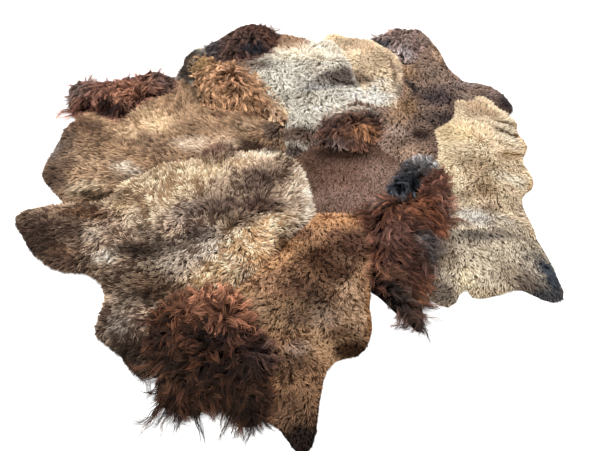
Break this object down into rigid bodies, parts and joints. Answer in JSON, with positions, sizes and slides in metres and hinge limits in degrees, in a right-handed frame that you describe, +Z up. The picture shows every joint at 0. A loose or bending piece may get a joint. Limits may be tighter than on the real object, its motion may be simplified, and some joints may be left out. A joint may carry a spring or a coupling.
{
  "type": "patchwork sheepskin rug",
  "caption": "Large floor rug of whole sheepskins sewn edge to edge, with their legs left on and shaggy manes of long neck wool.",
  "frame": {"origin": "on the floor under the rug, close to its middle, where the left skin's back lies", "axes": "+Z up from the floor, +Y from the front leg to the far side, +X to the right as seen from the front"},
  "size_m": [2.3251, 2.3331, 0.0703],
  "materials": {
    "rust_wool": "long wavy wool, red-brown with paler tips",
    "red_brown_wool": "long wavy wool, red-brown with grey tips",
    "golden_wool": "long wavy wool, golden brown",
    "dark_brown_wool": "long wavy wool, near black to red-brown",
    "charcoal_wool": "long wavy wool, charcoal with silver strands",
    "mauve_wool": "wavy wool, grey-brown with silver strands",
    "mottled_fleece": "curly fleece, dark roots and cream tips",
    "brown_fleece": "curly fleece, warm brown",
    "sandy_fleece": "smooth fleece, sandy brown",
    "cream_fleece": "fleece, cream with grey flecks",
    "beige_fleece": "short fleece, sandy beige",
    "golden_fleece": "short fleece, golden sand",
    "dark_fleece": "fleece, dark brown",
    "grey_fleece": "short fleece, cream and grey",
    "short_fleece": "short dense fleece, taupe brown"
  },
  "bodies": {
    "root": {"front_mane": "rust_wool", "left_mane": "red_brown_wool", "golden_mane": "golden_wool", "top_mane": "dark_brown_wool", "centre_mane": "rust_wool", "dark_mane": "charcoal_wool", "shoulder_mane": "rust_wool", "back_mane": "mauve_wool", "left_hide": "mottled_fleece", "front_hide": "brown_fleece", "back_left_hide": "sandy_fleece", "cream_hide": "cream_fleece", "beige_hide": "beige_fleece", "sandy_hide": "golden_fleece", "brown_hide": "dark_fleece", "grey_hide": "grey_fleece", "centre_hide": "short_fleece"}
  },
  "joints": []
}
